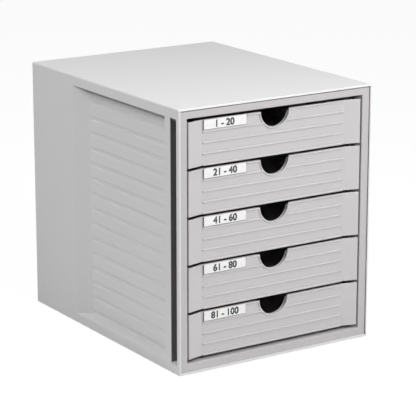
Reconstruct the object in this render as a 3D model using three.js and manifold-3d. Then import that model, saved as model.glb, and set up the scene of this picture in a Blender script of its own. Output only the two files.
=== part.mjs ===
// Desktop drawer box with five drawers for paper, in millimetres, +Z up.
// The origin is on the floor under the middle of the case. The drawer fronts face -Y.

import * as THREE from 'three';
import { mergeVertices } from 'three/addons/utils/BufferGeometryUtils.js';
import Module from 'manifold-3d';

const wasm = await Module();
wasm.setup();

// Overall sizes
const caseWidth = 275;
const caseDepth = 350;
const caseHeight = 320;
const drawerCount = 5;
const shellWall = 2.4;
const borderWidth = 12.5;
const fitGap = 0.3;
const cutOverrun = 1;
const joinOverlap = 0.8;

// Feet
const footProud = 1.5;
const footRadius = 7;
const footFromSide = 9;
const footFromEnd = 28;
const footStemRadius = 2.4;
const footBarbRadius = 3.4;
const footBarbHeight = 1.2;

// Side panels
const slotWidth = 12.6;
const slotWall = 1.8;
const middleStrip = 12.2;
const recessDepth = 12;
const rampLength = 20.5;
const rearFlushLength = 106;
const shelfThickness = 2;
const recessCeilingSlant = 7.3;
const recessSillSlant = 1.4;
const slotCeilingSlant = 6.5;
const groovePitch = 19.2;
const grooveHeight = 4.7;
const grooveDepth = 1.5;
const grooveFoot = 2.8;
const grooveTopMargin = 14.5;

// Front frame
const frameInset = 2;
const framePlate = 2;
const sleeveWall = 1.4;
const sleeveLength = 14;

// Locating ribs inside the top cover and the base, and the sunk field of the back panel
const ribThickness = 1.6;
const ribHeight = 5;
const backFieldDepth = 0.8;
const backFieldMargin = 24;

// Runner panels
const runnerWall = 1.8;
const railReach = 4;
const railThickness = 2;
const stopDrop = 3;
const stopLength = 6;
const railFrontGap = 4;

// Drawer fronts
const frontGap = 3.4;
const frontMargin = 4.45;
const frontSideGap = 2;
const frontWall = 2.7;
const frontReturnWall = 2;
const frontReturnLength = 12;
const frontEndInset = 0.3;
const frontHollow = 5.2;
const frontEndZone = 20.5;
const ridgeProud = 1.4;
const ridgeHeight = 2.2;
const bottomLipHeight = 2.3;
const ridgeEndGap = 1.5;
const ridgeSteps = 4;
const notchRadius = 20;
const notchRim = 2.4;
const notchRelief = 1.9;
const notchEdge = 1.6;

// Hooks that hold a front on its tray
const hookWidth = 8;
const hookHeight = 3;
const hookNib = 1.2;
const hookNibLength = 1.5;
const hookFromSide = 34;
const hookHeightShares = [0.2, 0.48];

// Drawer trays
const trayWall = 1.8;
const trayCorner = 5;
const trayFoot = 1.5;
const trayTopGap = 3.2;
const trayBackGap = 2;
const flangeThickness = 1.8;
const flangeDrop = 1;
const flangeBackGap = 8;
const flangeSideGap = 0.6;
const traySideGap = 0.6;
const heldLength = 85;
const bossReach = 2.6;
const bossHeight = 2.4;
const bossLength = 5;
const bossBackGap = 6.5;
const bossRailGap = 0.5;

// Labels
const labelEndGap = 0.6;
const labelNotchGap = 17.6;
const labelRidgeGap = 0.6;
const holderFrontWall = 0.6;
const holderBackWall = 0.5;
const holderSideWall = 0.6;
const cardThickness = 0.4;
const cardGap = 0.25;

// Facets on round shapes
const notchSides = 72;
const footSides = 32;
const cornerSteps = 6;

// Every coordinate is a whole number of these steps, so that level faces meet exactly
const gridStep = 1 / 1024;

// Places worked out from the sizes above
const halfWidth = caseWidth / 2;
const frontY = -caseDepth / 2;
const backY = caseDepth / 2;
const baseTop = footProud + shellWall;
const wallBottom = baseTop + fitGap;
const wallTop = caseHeight - shellWall - fitGap;
const openingHalf = halfWidth - borderWidth;
const openingBottom = footProud + borderWidth;
const openingTop = caseHeight - borderWidth;
const slotDepth = borderWidth - slotWall - sleeveWall - fitGap;
const frontStrip = frameInset + framePlate + fitGap + slotWall;
const slotRear = frontStrip + slotWidth;
const recessFront = slotRear + middleStrip;
const recessRear = caseDepth - rearFlushLength - rampLength;
const sidePanelLength = caseDepth - shellWall - fitGap;
const frontFaceY = frontY + frameInset;
const frontHalf = openingHalf - frontSideGap;
const frontsHeight = openingTop - openingBottom - 2 * frontMargin - (drawerCount - 1) * frontGap;
const frontHeight = frontsHeight / drawerCount;
const drawerPitch = frontHeight + frontGap;
const kinkHalf = frontHalf - frontEndZone;
const ridgeHalf = kinkHalf - ridgeEndGap;
const ridgePitch = (frontHeight - bottomLipHeight) / ridgeSteps;
const upperRidgeTop = bottomLipHeight + (ridgeSteps - 1) * ridgePitch;
const endFaceY = frontFaceY + frontEndInset;
const panelFaceY = endFaceY + frontHollow;
const panelBackY = panelFaceY + frontWall;
const ridgeFaceY = panelFaceY - ridgeProud;
const runnerOuter = halfWidth - recessDepth - shellWall - fitGap;
const runnerInner = runnerOuter - runnerWall;
const runnerBackY = backY - shellWall - fitGap - ribThickness - fitGap;
const railInner = runnerInner - railReach;
const trayHalf = railInner - traySideGap;
const trayTop = frontHeight - trayTopGap;
const trayFrontY = panelBackY + fitGap;
const trayBackY = backY - shellWall - trayBackGap;
const trayLength = trayBackY - trayFrontY;
const drawerTravel = trayLength - heldLength;
const flangeTop = trayTop - flangeDrop;
const flangeBottom = flangeTop - flangeThickness;
const railTop = flangeBottom - fitGap;
const railBottom = railTop - railThickness;
const bossTop = railBottom - bossRailGap;
const bossBackY = trayBackY - bossBackGap;
const bossFrontY = bossBackY - bossLength;
const labelLeft = -ridgeHalf + labelEndGap;
const labelRight = -notchRadius - notchRim - labelNotchGap;
const labelBottom = upperRidgeTop + labelRidgeGap;
const holderBackY = panelFaceY - fitGap;
const holderThickness = holderFrontWall + cardGap + cardThickness + cardGap + holderBackWall;
const holderFrontY = holderBackY - holderThickness;

// Nearest whole number of grid steps
function snap(value) {
  return Math.round(value / gridStep) * gridStep;
}

// Lower edge of the front of one drawer, counted from the lowest
function drawerBottom(index) {
  return snap(openingBottom + frontMargin + index * drawerPitch);
}

// Finishes
function plastic(color, roughness) {
  return new THREE.MeshStandardMaterial({ color, roughness, metalness: 0 });
}
const caseGrey = plastic(0xcac8c8, 0.55);
const drawerGrey = plastic(0xcdcbcb, 0.55);
const innerGrey = plastic(0xb4b3b3, 0.6);
const footRubber = plastic(0x3a3a3a, 0.9);
const cardPaper = plastic(0xf5f5f3, 0.85);
const clearPlastic = new THREE.MeshStandardMaterial({
  color: 0xf2f5f5,
  roughness: 0.15,
  metalness: 0,
  transparent: true,
  opacity: 0.35,
});

// Turns a closed geometry into a solid that can be joined and cut
function toSolid(geometry) {
  const bare = geometry.clone();
  bare.deleteAttribute('normal');
  bare.deleteAttribute('uv');
  bare.attributes.position.array.forEach((value, i, array) => {
    array[i] = snap(value);
  });
  const merged = mergeVertices(bare);
  const vertProperties = new Float32Array(merged.attributes.position.array);
  const triVerts = new Uint32Array(merged.index.array);
  return new wasm.Manifold(new wasm.Mesh({ numProp: 3, vertProperties, triVerts }));
}

// Turns a solid back into a flat-shaded mesh
function toMesh(name, solid, material) {
  const data = solid.getMesh();
  const geometry = new THREE.BufferGeometry();
  geometry.setAttribute('position', new THREE.BufferAttribute(new Float32Array(data.vertProperties), 3));
  geometry.setIndex(new THREE.BufferAttribute(new Uint32Array(data.triVerts), 1));
  geometry.computeVertexNormals();
  const mesh = new THREE.Mesh(geometry, material);
  mesh.name = name;
  return mesh;
}

// Rectangular block between two corners
function block([x0, y0, z0], [x1, y1, z1]) {
  const geometry = new THREE.BoxGeometry(x1 - x0, y1 - y0, z1 - z0);
  geometry.translate((x0 + x1) / 2, (y0 + y1) / 2, (z0 + z1) / 2);
  return toSolid(geometry);
}

// Upright prism over an outline in plan
function prism(outline, zLow, zHigh) {
  const shape = new THREE.Shape(outline.map(([x, y]) => new THREE.Vector2(x, y)));
  const geometry = new THREE.ExtrudeGeometry(shape, { depth: zHigh - zLow, bevelEnabled: false });
  geometry.translate(0, 0, zLow);
  return toSolid(geometry);
}

// Prism lying along Y over an outline in X and Z
function prismAlongY(outline, yLow, yHigh) {
  const shape = new THREE.Shape(outline.map(([x, z]) => new THREE.Vector2(x, z)));
  const geometry = new THREE.ExtrudeGeometry(shape, { depth: yHigh - yLow, bevelEnabled: false });
  geometry.rotateX(Math.PI / 2);
  geometry.translate(0, yHigh, 0);
  return toSolid(geometry);
}

// Upright prism over a rectangle with round corners
function roundedPrism([x0, y0], [x1, y1], radius, zLow, zHigh) {
  const shape = new THREE.Shape();
  shape.moveTo(x0 + radius, y0);
  shape.absarc(x1 - radius, y0 + radius, radius, -Math.PI / 2, 0, false);
  shape.absarc(x1 - radius, y1 - radius, radius, 0, Math.PI / 2, false);
  shape.absarc(x0 + radius, y1 - radius, radius, Math.PI / 2, Math.PI, false);
  shape.absarc(x0 + radius, y0 + radius, radius, Math.PI, 1.5 * Math.PI, false);
  const options = { depth: zHigh - zLow, bevelEnabled: false, curveSegments: cornerSteps };
  const geometry = new THREE.ExtrudeGeometry(shape, options);
  geometry.translate(0, 0, zLow);
  return toSolid(geometry);
}

// Round bar lying along Y
function barAlongY(x, z, radius, yLow, yHigh) {
  const geometry = new THREE.CylinderGeometry(radius, radius, yHigh - yLow, notchSides);
  geometry.translate(0, (yLow + yHigh) / 2, 0);
  geometry.rotateY(Math.PI / notchSides);
  geometry.translate(x, 0, z);
  return toSolid(geometry);
}

// Rectangular loop of four ribs standing on one level
function ribLoop(zLow, zHigh) {
  const outerX = halfWidth - shellWall - fitGap;
  const outerFront = frontFaceY + framePlate + fitGap;
  const outerBack = backY - shellWall - fitGap;
  const outer = block([-outerX, outerFront, zLow], [outerX, outerBack, zHigh]);
  const innerLow = [-outerX + ribThickness, outerFront + ribThickness, zLow - cutOverrun];
  const innerHigh = [outerX - ribThickness, outerBack - ribThickness, zHigh + cutOverrun];
  return outer.subtract(block(innerLow, innerHigh));
}

// Flat cover with a rib loop under it that locates the walls
function makeTopCover() {
  const plate = block([-halfWidth, frontY, caseHeight - shellWall], [halfWidth, backY, caseHeight]);
  const ribs = ribLoop(caseHeight - shellWall - ribHeight, caseHeight - shellWall + joinOverlap);
  return plate.add(ribs);
}

// Centres of the four feet in plan
function footPlaces() {
  const x = halfWidth - footFromSide;
  const y = caseDepth / 2 - footFromEnd;
  return { front_left: [-x, -y], front_right: [x, -y], rear_left: [-x, y], rear_right: [x, y] };
}

// Flat base with a rib loop on it and four holes for the feet
function makeBase() {
  const plate = block([-halfWidth, frontY, footProud], [halfWidth, backY, baseTop]);
  let base = plate.add(ribLoop(baseTop - joinOverlap, baseTop + ribHeight));
  const holeRadius = footStemRadius + fitGap;
  for (const [x, y] of Object.values(footPlaces())) {
    const hole = new THREE.CylinderGeometry(holeRadius, holeRadius, shellWall + 2 * cutOverrun, footSides);
    hole.rotateX(Math.PI / 2);
    hole.translate(x, y, footProud + shellWall / 2);
    base = base.subtract(toSolid(hole));
  }
  return base;
}

// Push-in rubber foot: a pad, a stem through the base and a barb above it
function makeFoot() {
  const padTop = footProud - fitGap;
  const barbBottom = baseTop + fitGap;
  const barbTop = barbBottom + footBarbHeight;
  const profile = [
    [0, 0],
    [footRadius - padTop / 2, 0],
    [footRadius, padTop / 2],
    [footRadius, padTop],
    [footStemRadius, padTop],
    [footStemRadius, barbBottom],
    [footBarbRadius, barbBottom],
    [footStemRadius, barbTop],
    [0, barbTop],
  ];
  const geometry = new THREE.LatheGeometry(profile.map(([r, z]) => new THREE.Vector2(r, z)), footSides);
  geometry.rotateX(Math.PI / 2);
  return toSolid(geometry);
}

// Places in the side panel's plan: how far in from the outer face, how far back from the front
function sidePlace(side, inward, back) {
  return [side * (halfWidth - inward), frontY + back];
}

// Wedge that slants the upper or lower end of a slot or recess: it starts at a level at the outer
// face and rises or falls by the slant on its way to the floor; its back lies inside the shelf
function slantedEnd(side, plan, depth, level, slant, back) {
  const reach = Math.max(...plan.map(([inward]) => inward));
  const inner = level + (slant * reach) / depth;
  const section = [[0, level], [reach, inner], [reach, back], [0, back]];
  const outline = section.map(([inward, z]) => [side * (halfWidth - inward), z]);
  const places = plan.map(([, along]) => frontY + along);
  const wedge = prismAlongY(outline, Math.min(...places), Math.max(...places));
  const planOutline = plan.map(([inward, along]) => sidePlace(side, inward, along));
  return wedge.intersect(prism(planOutline, Math.min(inner, back), Math.max(inner, back)));
}

// Moulded side panel: one wall bent round a deep slot and a long recess, with shelves that
// close both at top and bottom, slanted ends, and level grooves in the floor of the recess
function makeSidePanel(side) {
  const rampEnd = recessRear + rampLength;
  const slotFloor = slotDepth + slotWall;
  const recessFloor = recessDepth + shellWall;
  const outerPath = [
    [0, 0],
    [0, frontStrip],
    [slotDepth, frontStrip],
    [slotDepth, slotRear],
    [0, slotRear],
    [0, recessFront],
    [recessDepth, recessFront],
    [recessDepth, recessRear],
    [0, rampEnd],
    [0, sidePanelLength],
  ];
  const innerPath = [
    [shellWall, sidePanelLength],
    [shellWall, rampEnd + slotWall],
    [recessFloor, recessRear + slotWall],
    [recessFloor, recessFront - shellWall],
    [shellWall, recessFront - shellWall],
    [shellWall, slotRear + slotWall],
    [slotFloor, slotRear + slotWall],
    [slotFloor, frontStrip - slotWall],
    [shellWall, frontStrip - slotWall],
    [shellWall, 0],
  ];
  const place = ([inward, back]) => sidePlace(side, inward, back);
  const wallOutline = [...outerPath, ...innerPath].map(place);
  const shelfOutline = [[0, 0], [0, sidePanelLength], ...innerPath].map(place);
  const strip = [[0, 0], [0, sidePanelLength], [shellWall, sidePanelLength], [shellWall, 0]];
  const stripOutline = strip.map(place);
  const lowShelf = openingBottom - shelfThickness;
  const highShelf = openingTop + shelfThickness;
  const layers = [
    [stripOutline, wallBottom, lowShelf],
    [shelfOutline, lowShelf, openingBottom],
    [wallOutline, openingBottom, openingTop],
    [shelfOutline, openingTop, highShelf],
    [stripOutline, highShelf, wallTop],
  ];
  let panel = prism(...layers[0]);
  for (const layer of layers.slice(1)) {
    panel = panel.add(prism(...layer));
  }
  const seat = slotWall / 2;
  const slotPlan = [
    [0, frontStrip - seat],
    [slotDepth + seat, frontStrip - seat],
    [slotDepth + seat, slotRear + seat],
    [0, slotRear + seat],
  ];
  const recessPlan = [
    [0, recessFront - seat],
    [recessDepth + seat, recessFront - seat],
    [recessDepth + seat, recessRear + seat],
    [0, rampEnd + seat],
  ];
  const aboveCeiling = openingTop + shelfThickness / 2;
  const belowSill = openingBottom - shelfThickness / 2;
  const ends = [
    [slotPlan, slotDepth, openingTop, -slotCeilingSlant, aboveCeiling],
    [recessPlan, recessDepth, openingTop, -recessCeilingSlant, aboveCeiling],
    [recessPlan, recessDepth, openingBottom, recessSillSlant, belowSill],
  ];
  for (const end of ends) {
    panel = panel.add(slantedEnd(side, ...end));
  }
  const usable = openingTop - openingBottom - grooveFoot - grooveHeight - grooveTopMargin;
  const grooveCount = 1 + Math.floor(usable / groovePitch);
  for (let i = 0; i < grooveCount; i += 1) {
    const zLow = openingBottom + grooveFoot + i * groovePitch;
    const near = sidePlace(side, recessDepth - cutOverrun, recessFront + cutOverrun);
    const far = sidePlace(side, recessDepth + grooveDepth, recessRear);
    const low = [Math.min(near[0], far[0]), near[1], zLow];
    const high = [Math.max(near[0], far[0]), far[1], zLow + grooveHeight];
    panel = panel.subtract(block(low, high));
  }
  return panel;
}

// Plain back wall with a shallow sunk field on its outer face
function makeBackPanel() {
  const wall = block([-halfWidth, backY - shellWall, wallBottom], [halfWidth, backY, wallTop]);
  const fieldHalf = halfWidth - backFieldMargin;
  const low = [-fieldHalf, backY - backFieldDepth, wallBottom + backFieldMargin];
  const high = [fieldHalf, backY + cutOverrun, wallTop - backFieldMargin];
  return wall.subtract(block(low, high));
}

// Frame set back in the mouth of the case: a flat rim and a sleeve that lines the opening
function makeFrontFrame() {
  const rimHalf = halfWidth - shellWall - fitGap;
  const rimBack = frontFaceY + framePlate;
  const rim = block([-rimHalf, frontFaceY, wallBottom], [rimHalf, rimBack, wallTop]);
  const sleeveLow = [-openingHalf - sleeveWall, frontFaceY + joinOverlap, openingBottom - sleeveWall];
  const sleeveHigh = [openingHalf + sleeveWall, rimBack + sleeveLength, openingTop + sleeveWall];
  const openLow = [-openingHalf, frontY, openingBottom];
  const openHigh = [openingHalf, rimBack + sleeveLength + cutOverrun, openingTop];
  return rim.add(block(sleeveLow, sleeveHigh)).subtract(block(openLow, openHigh));
}

// Inner wall with one rail for each drawer and a stop block under each rail
function makeRunnerPanel(side) {
  const wallFrontY = frontFaceY + framePlate + sleeveLength + railFrontGap;
  const acrossBlock = (near, far, [yLow, zLow], [yHigh, zHigh]) => {
    const x0 = Math.min(side * near, side * far);
    const x1 = Math.max(side * near, side * far);
    return block([x0, yLow, zLow], [x1, yHigh, zHigh]);
  };
  let panel = acrossBlock(runnerInner, runnerOuter, [wallFrontY, wallBottom], [runnerBackY, wallTop]);
  const stopBackY = bossFrontY - drawerTravel - fitGap;
  for (let i = 0; i < drawerCount; i += 1) {
    const z = drawerBottom(i);
    const reach = runnerInner + joinOverlap;
    const railLow = [wallFrontY, z + railBottom];
    const railHigh = [runnerBackY, z + railTop];
    panel = panel.add(acrossBlock(railInner, reach, railLow, railHigh));
    const stopLow = [stopBackY - stopLength, z + railBottom - stopDrop];
    const stopHigh = [stopBackY, z + railBottom + joinOverlap];
    panel = panel.add(acrossBlock(railInner, reach, stopLow, stopHigh));
  }
  return panel;
}

// Places of the hooks on the back of a front: x of the middle and z of the lower edge
function hookPlaces() {
  const x = trayHalf - hookFromSide;
  return hookHeightShares.flatMap((share) => [[-x, share * frontHeight], [x, share * frontHeight]]);
}

// Open tray with a flange along each side, a stop boss under each flange at the back, a round
// notch in its front wall and slots for the hooks of the front
function makeTray() {
  let tray = roundedPrism([-trayHalf, trayFrontY], [trayHalf, trayBackY], trayCorner, trayFoot, trayTop);
  const innerLow = [-trayHalf + trayWall, trayFrontY + trayWall];
  const innerHigh = [trayHalf - trayWall, trayBackY - trayWall];
  const innerCorner = trayCorner - trayWall;
  const hollowTop = trayTop + cutOverrun;
  tray = tray.subtract(roundedPrism(innerLow, innerHigh, innerCorner, trayFoot + trayWall, hollowTop));
  const flangeFrontY = frontFaceY + framePlate + sleeveLength + railFrontGap + fitGap;
  for (const side of [-1, 1]) {
    const wallX = side * (trayHalf - joinOverlap);
    const flangeX = side * (runnerInner - flangeSideGap);
    const flangeLow = [Math.min(wallX, flangeX), flangeFrontY, flangeBottom];
    const flangeHigh = [Math.max(wallX, flangeX), trayBackY - flangeBackGap, flangeTop];
    tray = tray.add(block(flangeLow, flangeHigh));
    const bossX = side * (trayHalf + bossReach);
    const bossLow = [Math.min(wallX, bossX), bossFrontY, bossTop - bossHeight];
    const bossHigh = [Math.max(wallX, bossX), bossBackY, bossTop];
    tray = tray.add(block(bossLow, bossHigh));
  }
  const cutFront = trayFrontY - cutOverrun;
  const cutBack = trayFrontY + trayWall + cutOverrun;
  tray = tray.subtract(barAlongY(0, frontHeight, notchRadius + fitGap, cutFront, cutBack));
  for (const [x, z] of hookPlaces()) {
    const low = [x - hookWidth / 2 - fitGap, cutFront, z - fitGap];
    const high = [x + hookWidth / 2 + fitGap, cutBack, z + hookHeight + hookNib + fitGap];
    tray = tray.subtract(block(low, high));
  }
  return tray;
}

// Bar on the face of a front, from one x to another
function faceBar(xLow, xHigh, zLow, zHigh) {
  return block([xLow, ridgeFaceY, zLow], [xHigh, panelFaceY + joinOverlap, zHigh]);
}

// Drawer front: a plate whose two ends come forward, with level ridges, a lip along its top and
// bottom edges, a half-round finger notch with a thin raised rim, and hooks on its back
function makeDrawerFront() {
  const returnBackY = endFaceY + frontReturnLength;
  const returnHalf = frontHalf - frontReturnWall;
  const outline = [
    [-frontHalf, endFaceY],
    [-kinkHalf, panelFaceY],
    [kinkHalf, panelFaceY],
    [frontHalf, endFaceY],
    [frontHalf, returnBackY],
    [returnHalf, returnBackY],
    [returnHalf, endFaceY + frontWall],
    [kinkHalf, panelBackY],
    [-kinkHalf, panelBackY],
    [-returnHalf, endFaceY + frontWall],
    [-returnHalf, returnBackY],
    [-frontHalf, returnBackY],
  ];
  let front = prism(outline, 0, frontHeight);
  front = front.add(faceBar(-ridgeHalf, ridgeHalf, 0, bottomLipHeight));
  for (let step = 1; step < ridgeSteps; step += 1) {
    const ridgeTop = bottomLipHeight + step * ridgePitch;
    front = front.add(faceBar(-ridgeHalf, ridgeHalf, ridgeTop - ridgeHeight, ridgeTop));
  }
  front = front.add(faceBar(labelRight + labelRidgeGap, ridgeHalf, frontHeight - ridgeHeight, frontHeight));
  const rimRadius = notchRadius + notchRim;
  const rimSolid = barAlongY(0, frontHeight, rimRadius, ridgeFaceY, panelFaceY + joinOverlap);
  const rimZone = faceBar(-rimRadius, rimRadius, frontHeight - rimRadius, frontHeight);
  front = front.add(rimSolid.intersect(rimZone));
  const notch = barAlongY(0, frontHeight, notchRadius, frontY, panelBackY + cutOverrun);
  const reliefRadius = notchRadius + notchRelief;
  const reliefFront = ridgeFaceY + notchEdge;
  const relief = barAlongY(0, frontHeight, reliefRadius, reliefFront, panelBackY + cutOverrun);
  front = front.subtract(notch).subtract(relief);
  const nibStart = trayFrontY + trayWall + fitGap;
  const hookBack = nibStart + hookNibLength;
  for (const [x, z] of hookPlaces()) {
    const left = x - hookWidth / 2;
    const right = x + hookWidth / 2;
    front = front.add(block([left, panelBackY - joinOverlap, z], [right, hookBack, z + hookHeight]));
    const nibLow = [left, nibStart, z + joinOverlap];
    front = front.add(block(nibLow, [right, hookBack, z + hookHeight + hookNib]));
  }
  return front;
}

// Clear pocket at the top left of a front, open at the top for the card
function makeLabelHolder() {
  const outer = block([labelLeft, holderFrontY, labelBottom], [labelRight, holderBackY, frontHeight]);
  const pocketLow = [
    labelLeft + holderSideWall,
    holderFrontY + holderFrontWall,
    labelBottom + holderSideWall,
  ];
  const pocketHigh = [
    labelRight - holderSideWall,
    holderBackY - holderBackWall,
    frontHeight + cutOverrun,
  ];
  return outer.subtract(block(pocketLow, pocketHigh));
}

// Card that stands in the pocket
function makeLabelCard() {
  const edge = holderSideWall + cardGap;
  const low = [labelLeft + edge, holderFrontY + holderFrontWall + cardGap, labelBottom + edge];
  const high = [labelRight - edge, low[1] + cardThickness, frontHeight - cardGap];
  return block(low, high);
}

// The case: shell, frame, runner panels and feet
function makeCase() {
  const group = new THREE.Group();
  group.add(toMesh('top_cover', makeTopCover(), caseGrey));
  group.add(toMesh('base_panel', makeBase(), caseGrey));
  group.add(toMesh('back_panel', makeBackPanel(), caseGrey));
  group.add(toMesh('front_frame', makeFrontFrame(), caseGrey));
  for (const [label, side] of [['left', -1], ['right', 1]]) {
    group.add(toMesh(`${label}_side_panel`, makeSidePanel(side), caseGrey));
    group.add(toMesh(`${label}_runner_panel`, makeRunnerPanel(side), innerGrey));
  }
  const foot = makeFoot();
  for (const [label, [x, y]] of Object.entries(footPlaces())) {
    const mesh = toMesh(`foot_${label}`, foot, footRubber);
    mesh.position.set(x, y, 0);
    group.add(mesh);
  }
  return group;
}

// One drawer: its four pieces are made once and shown at each level
function makeDrawers() {
  const pieces = [
    ['tray', makeTray(), drawerGrey],
    ['front', makeDrawerFront(), drawerGrey],
    ['label_holder', makeLabelHolder(), clearPlastic],
    ['label_card', makeLabelCard(), cardPaper],
  ];
  const group = new THREE.Group();
  for (let i = 0; i < drawerCount; i += 1) {
    const drawer = new THREE.Group();
    const number = drawerCount - i;
    for (const [label, solid, material] of pieces) {
      drawer.add(toMesh(`drawer_${number}_${label}`, solid, material));
    }
    drawer.position.z = drawerBottom(i);
    group.add(drawer);
  }
  return group;
}

const drawerBox = new THREE.Group();
drawerBox.add(makeCase());
drawerBox.add(makeDrawers());

export default drawerBox;
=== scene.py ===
import math

import bmesh
import bpy
from bpy.props import FloatProperty, FloatVectorProperty, IntProperty, PointerProperty
from bpy.types import Operator, Panel, PropertyGroup
from mathutils import Matrix, Vector


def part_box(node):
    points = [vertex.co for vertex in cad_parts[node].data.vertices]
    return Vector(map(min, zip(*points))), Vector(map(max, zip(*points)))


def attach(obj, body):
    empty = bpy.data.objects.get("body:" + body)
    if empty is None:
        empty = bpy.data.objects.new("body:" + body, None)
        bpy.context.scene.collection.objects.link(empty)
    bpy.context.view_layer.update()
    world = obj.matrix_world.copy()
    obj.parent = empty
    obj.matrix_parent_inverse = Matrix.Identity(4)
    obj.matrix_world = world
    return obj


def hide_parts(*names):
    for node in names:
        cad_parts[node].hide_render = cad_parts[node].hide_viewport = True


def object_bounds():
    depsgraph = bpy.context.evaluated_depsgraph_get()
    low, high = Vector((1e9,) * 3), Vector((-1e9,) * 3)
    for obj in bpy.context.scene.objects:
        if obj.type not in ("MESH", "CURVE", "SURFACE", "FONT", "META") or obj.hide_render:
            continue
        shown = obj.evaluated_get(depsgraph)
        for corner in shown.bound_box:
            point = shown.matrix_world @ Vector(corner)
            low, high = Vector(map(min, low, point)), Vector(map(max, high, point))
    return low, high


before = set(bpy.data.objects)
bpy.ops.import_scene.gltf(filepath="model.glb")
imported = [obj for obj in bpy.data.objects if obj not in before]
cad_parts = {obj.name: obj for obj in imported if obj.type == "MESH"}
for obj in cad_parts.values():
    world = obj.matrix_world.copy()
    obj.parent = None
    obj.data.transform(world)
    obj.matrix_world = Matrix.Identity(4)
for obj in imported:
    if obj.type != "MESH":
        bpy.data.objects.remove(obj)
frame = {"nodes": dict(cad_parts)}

bl_info = {
    "name": "Desktop drawer box",
    "version": (1, 0, 0),
    "blender": (4, 5, 0),
    "location": "View3D > Sidebar > Drawer box",
    "description": "Finishes a desktop drawer box: its case, trays, drawer fronts and labels",
    "category": "Object",
}

CAD_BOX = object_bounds()
SIDES = {"left": -1, "right": 1}
DRAWERS = range(1, 6)
X, Y, Z = range(3)
JOIN = 2e-6                         # corners nearer than this are one corner
FINE_JOIN = 2e-7                    # the same between rounded edges and in figures
TOUCH = 1e-5                        # a corner nearer than this to a plane lies on it
FLAT_ANGLE = math.radians(1)        # faces that turn less than this are one flat
ARC_STEP = math.radians(9)          # largest turn from one point of an arc to the next
EDGE_ANGLE = math.radians(20)       # edges that turn more than this are rounded
SHARP_ANGLE = math.radians(42)      # edges that turn more than this shade as sharp
ROUND_SIDES = 144
FOOT_SIDES = 64
FOOT_EDGE_STEPS = 6
BEVEL_STEPS = 4
FIGURE_STEPS = 4
HOOK_ROWS = 2
FLAT_WEIGHT = 100                   # how much more large faces count in the shading
LEVEL_NORMAL = 0.5                  # a normal's height above which its face looks up


def srgb(red, green, blue):
    """Linear colour of three display levels from 0 to 255."""
    levels = (channel / 255 for channel in (red, green, blue))
    return tuple(v / 12.92 if v <= 0.04045 else ((v + 0.055) / 1.055) ** 2.4 for v in levels)


def grey(level):
    """A grey of one linear level, without transparency."""
    return (level, level, level, 1)


def length(name, description, default):
    """A property that holds a length in metres."""
    return FloatProperty(name=name, description=description, default=default, unit="LENGTH", precision=5)


def share(name, description, default):
    """A property that holds a number from 0 to 1."""
    return FloatProperty(name=name, description=description, default=default, min=0, max=1, subtype="FACTOR")


def colour(name, description, default):
    """A property that holds a colour."""
    return FloatVectorProperty(
        name=name, description=description, default=default, min=0, max=1, size=3, subtype="COLOR"
    )


def angle(name, description, degrees):
    """A property that holds an angle."""
    return FloatProperty(name=name, description=description, default=math.radians(degrees), subtype="ANGLE")


def count(name, description, default):
    """A property that holds a whole number."""
    return IntProperty(name=name, description=description, default=default, min=1)


def power(name, description, default):
    """A property that holds the strength of a light."""
    return FloatProperty(name=name, description=description, default=default, min=0)


def spot(name, description, default):
    """A property that holds a place in metres."""
    return FloatVectorProperty(
        name=name, description=description, default=default, size=3, subtype="TRANSLATION"
    )


class CaseSizes(PropertyGroup):
    """Walls, edges and seams of the case."""

    wall: length("Wall", "Thickness of the shell", 0.0024)
    outer_radius: length("Outer edges", "Rounding of the outer edges of the case", 0.0019)
    mouth_radius: length("Mouth edges", "Rounding at the opening, the side slots and the recesses", 0.0006)
    lip_radius: length("Lip edge", "Rounding of the inner edge of the lip round the mouth", 0.0004)
    opening_radius: length("Opening edges", "Rounding of the frame's edges round the drawers", 0.0012)
    inner_radius: length("Inner edges", "Rounding of edges inside the case", 0.0003)
    seam_radius: length("Seam edges", "Rounding of edges where two panels meet", 0.00008)
    seam_gap: length("Seam gap", "Gap left between two panels that meet", 0.00003)
    frame_gap: length("Frame gap", "Gap left between the frame and the top cover", 0.0013)


class RecessSizes(PropertyGroup):
    """Side recess and the level grooves in its floor."""

    floor_x: length("Recess floor", "Distance of the recess floor from the middle of the case", 0.1255)
    ramp_start: length("Ramp start", "Place where the recess floor ends and its ramp starts", 0.0485)
    ramp_end: length("Ramp end", "Place where the ramp meets the outer face", 0.069)
    ramp_ease: length("Ramp ease", "How far the ramp's two bends are eased", 0.0004)
    grooves: count("Grooves", "Number of grooves on one side", 15)
    first: length("First groove", "Height of the lower edge of the lowest groove", 0.0168)
    pitch: length("Pitch", "Distance from one groove to the next", 0.0192)
    height: length("Height", "Height of one groove", 0.0047)
    depth: length("Depth", "Depth of one groove", 0.0015)
    start: length("Front end", "Place of the front ends of the grooves", -0.1431)
    rear_gap: length("Rear gap", "Gap between the rear ends of the grooves and the ramp", 0.001)
    radius: length("Groove edges", "Rounding of the groove edges", 0.0011)
    cut_shares: FloatVectorProperty(
        name="Cut shares", description="Places of the cross cuts as shares of a groove's length",
        default=(0.03, 0.5, 0.95), size=3,
    )
    end_radius: length("Ends", "Rounding at the ends of recess floor and grooves", 0.0002)
    sill_radius: length("Sill", "Rounding of the outer edge of the recess's lower end", 0.0012)
    sill: length("Sill height", "Height of the lower ends of recess and slot", 0.014)
    ceiling: length("Ceiling", "Height of the upper ends of recess and slot", 0.3075)
    ceiling_slant: length("Ceiling slant", "How far the upper ends slant down inward at most", 0.0075)
    slot_x: length("Slot floor", "Distance of the slot's inner wall from the middle of the case", 0.1285)
    slot_front: length("Slot front", "Place of the slot's front wall", -0.1689)
    slot_rear: length("Slot rear", "Place of the slot's rear wall", -0.1563)


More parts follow.
